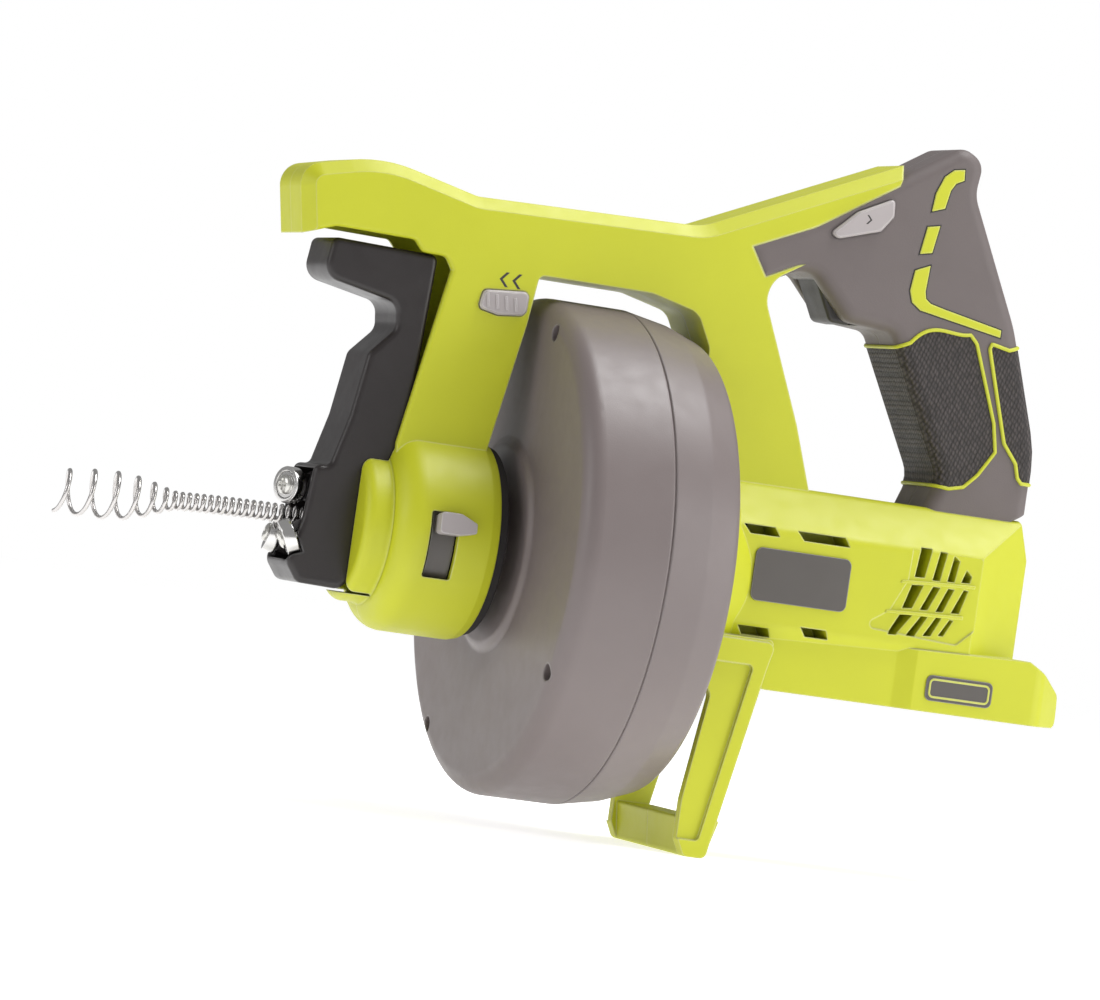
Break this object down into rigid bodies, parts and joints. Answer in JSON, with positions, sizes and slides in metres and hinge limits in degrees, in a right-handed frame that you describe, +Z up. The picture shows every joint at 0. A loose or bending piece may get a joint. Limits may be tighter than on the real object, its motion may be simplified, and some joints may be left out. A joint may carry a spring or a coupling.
{
  "type": "drain snake machine",
  "caption": "Hand-held drum drain auger: green D-handle housing over a round cable drum, with a squeeze feed lever, foot and spring cable with a bulb tip.",
  "frame": {"origin": "on the ground, under the middle of the foot's cross bar", "axes": "+X forward along the drum axis towards the cable outlet, +Y to the left side, +Z up"},
  "size_m": [0.4398, 0.205, 0.3051],
  "materials": {
    "housing_green": "satin moulded plastic",
    "grip_rubber": "matte overmoulded rubber",
    "plate_dark": "matte label",
    "drum_grey": "satin moulded plastic",
    "screw_black": "black oxide",
    "black_plastic": "satin moulded plastic",
    "light_plastic": "satin moulded plastic",
    "cable_steel": "bright spring steel",
    "bearing_steel": "polished",
    "plain_steel": "machined",
    "nylon": "natural nylon",
    "copper": "copper",
    "magnet": "ferrite"
  },
  "bodies": {
    "body": {"left_housing": "housing_green", "right_housing": "housing_green", "left_grip": "grip_rubber", "right_grip": "grip_rubber", "side_plates": "plate_dark", "base_badges": "plate_dark", "housing_screws": "screw_black", "gearbox_case": "screw_black", "ring_gear": "plain_steel", "rear_bearing": "bearing_steel", "front_bearing": "bearing_steel", "motor_can": "plain_steel", "motor_front_plate": "plain_steel", "motor_end_cap": "black_plastic", "motor_magnets": "magnet", "motor_mount": "plain_steel", "motor_brushes": "copper", "roller_boss": "black_plastic", "upper_roller_inner": "bearing_steel", "upper_roller_screw": "bearing_steel", "lever_pin": "plain_steel", "lever_spring": "plain_steel", "outlet_bush": "nylon", "nose_gasket": "black_plastic", "switch_body": "black_plastic", "terminal_block": "black_plastic", "battery_contacts": "copper"},
    "drum": {"drum_front_shell": "drum_grey", "drum_rear_shell": "drum_grey", "drum_screws": "screw_black", "guide_tube": "nylon", "guide_hub": "nylon", "cable_coil": "cable_steel", "drum_spindle": "plain_steel", "planet_carrier": "plain_steel", "planet_pins": "plain_steel"},
    "cable": {"cable_lead": "cable_steel", "auger_tip": "cable_steel"},
    "rotor": {"motor_shaft": "plain_steel", "armature": "plain_steel", "cooling_fan": "black_plastic", "sun_pinion": "plain_steel"},
    "planet_1": {"planet_gear_1": "plain_steel"},
    "planet_2": {"planet_gear_2": "plain_steel"},
    "planet_3": {"planet_gear_3": "plain_steel"},
    "lever": {"feed_lever": "black_plastic", "roller_carrier": "black_plastic", "lower_roller_inner": "bearing_steel", "lower_roller_screw": "bearing_steel"},
    "roller_top": {"upper_roller": "bearing_steel"},
    "roller_left": {"left_roller": "bearing_steel"},
    "roller_right": {"right_roller": "bearing_steel"},
    "clamp": {"clamp_ring": "light_plastic", "clamp_tab": "light_plastic", "clamp_spider": "plain_steel", "clamp_collet": "plain_steel"},
    "trigger": {"trigger": "black_plastic", "trigger_spring": "plain_steel"},
    "selector": {"direction_selector": "light_plastic"},
    "autofeed": {"autofeed_button": "light_plastic"}
  },
  "joints": [
    {"name": "drum_spin", "type": "hinge", "parent": "body", "child": "drum", "pos_m": [0.05, 0, 0.115], "axis": [1, 0, 0], "continuous": true},
    {"name": "cable_feed", "type": "slide", "parent": "drum", "child": "cable", "axis": [1, 0, 0], "range_m": [-0.018, 0.06]},
    {"name": "rotor_spin", "type": "hinge", "parent": "body", "child": "rotor", "pos_m": [-0.04, 0, 0.115], "axis": [1, 0, 0], "continuous": true},
    {"name": "planet_1_spin", "type": "hinge", "parent": "drum", "child": "planet_1", "pos_m": [-0.002, 0, 0.13], "axis": [1, 0, 0], "continuous": true},
    {"name": "planet_2_spin", "type": "hinge", "parent": "drum", "child": "planet_2", "pos_m": [-0.002, 0.01299, 0.1075], "axis": [1, 0, 0], "continuous": true},
    {"name": "planet_3_spin", "type": "hinge", "parent": "drum", "child": "planet_3", "pos_m": [-0.002, -0.01299, 0.1075], "axis": [1, 0, 0], "continuous": true},
    {"name": "feed_lever_squeeze", "type": "hinge", "parent": "body", "child": "lever", "pos_m": [0.147, 0, 0.101], "axis": [0, -1, 0], "range_deg": [0, 5.5], "stiffness_Nm_per_rad": 2, "springref_deg": -11.46},
    {"name": "top_roller_spin", "type": "hinge", "parent": "body", "child": "roller_top", "pos_m": [0.178, 0, 0.1268], "axis": [0.9135, 0.4067, 0], "continuous": true},
    {"name": "left_roller_spin", "type": "hinge", "parent": "lever", "child": "roller_left", "pos_m": [0.17863, 0.01022, 0.10609], "axis": [0.8756, -0.2034, -0.4382], "continuous": true},
    {"name": "right_roller_spin", "type": "hinge", "parent": "lever", "child": "roller_right", "pos_m": [0.17863, -0.01022, 0.10609], "axis": [0.9431, -0.2034, 0.2631], "continuous": true},
    {"name": "clamp_turn", "type": "hinge", "parent": "body", "child": "clamp", "pos_m": [0.1235, 0, 0.115], "axis": [1, 0, 0], "range_deg": [-24.5, 0]},
    {"name": "trigger_pull", "type": "slide", "parent": "body", "child": "trigger", "axis": [-0.9107, 0, 0.4131], "range_m": [0, 0.006], "stiffness_N_per_m": 900, "springref_m": -0.003},
    {"name": "selector_slide", "type": "slide", "parent": "body", "child": "selector", "axis": [0, 1, 0], "range_m": [-0.0025, 0.0025]},
    {"name": "autofeed_slide", "type": "slide", "parent": "body", "child": "autofeed", "axis": [0, 1, 0], "range_m": [-0.0015, 0.0015]}
  ],
  "couplings": [
    {"joint": "rotor_spin", "follows": "drum_spin", "ratio": 5},
    {"joint": "planet_1_spin", "follows": "drum_spin", "ratio": -2.6667},
    {"joint": "planet_2_spin", "follows": "drum_spin", "ratio": -2.6667},
    {"joint": "planet_3_spin", "follows": "drum_spin", "ratio": -2.6667}
  ]
}
